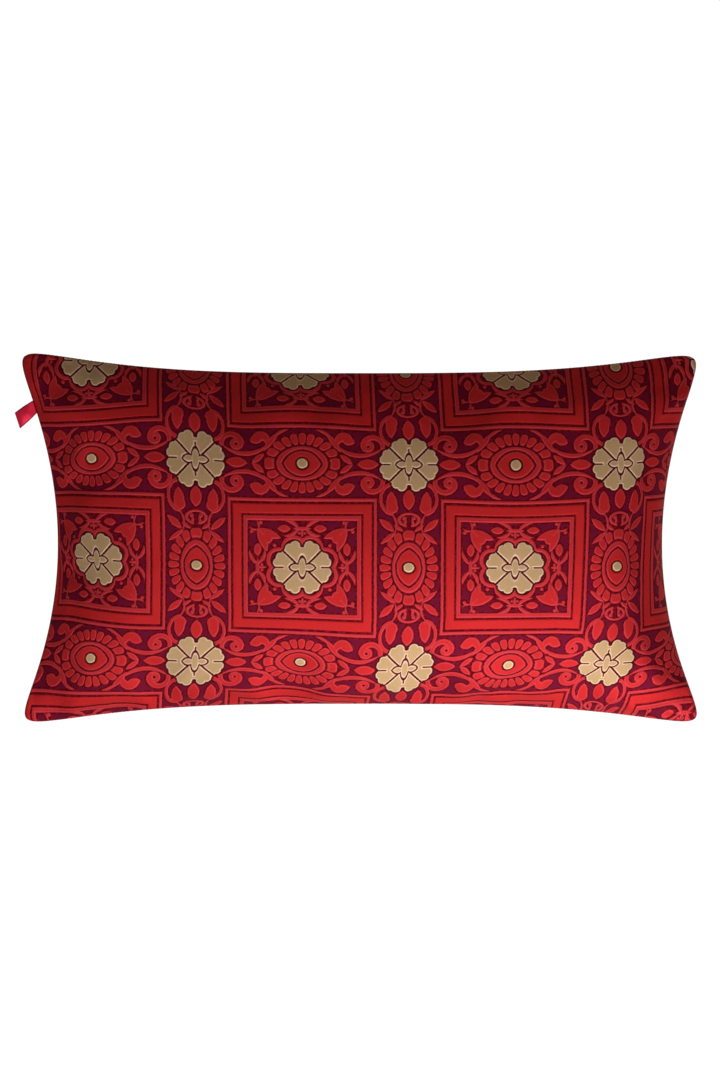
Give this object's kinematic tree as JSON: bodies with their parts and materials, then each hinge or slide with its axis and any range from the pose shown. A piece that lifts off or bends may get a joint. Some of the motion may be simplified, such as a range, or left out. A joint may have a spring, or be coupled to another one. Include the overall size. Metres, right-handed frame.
{
  "type": "cushion cover, shown filled as a lumbar cushion",
  "caption": "Filled rectangular lumbar cushion in a woven brocade cover with knife-edge seams, drawn-in sides and a ribbon loop in one end seam.",
  "frame": {"origin": "middle of the cushion's outline, on the flat zone of its back, level with the surface that it lies on", "axes": "+X along the cushion's length, +Y across its face towards the long side nearest the ribbon loop, +Z out of the front panel"},
  "size_m": [0.5671, 0.306, 0.0865],
  "materials": {
    "brocade": "woven silk-like brocade, red and gold figure on an aubergine ground",
    "ribbon": "satin ribbon"
  },
  "bodies": {
    "root": {"cushion": "brocade", "ribbon_tab": "ribbon"}
  },
  "joints": []
}
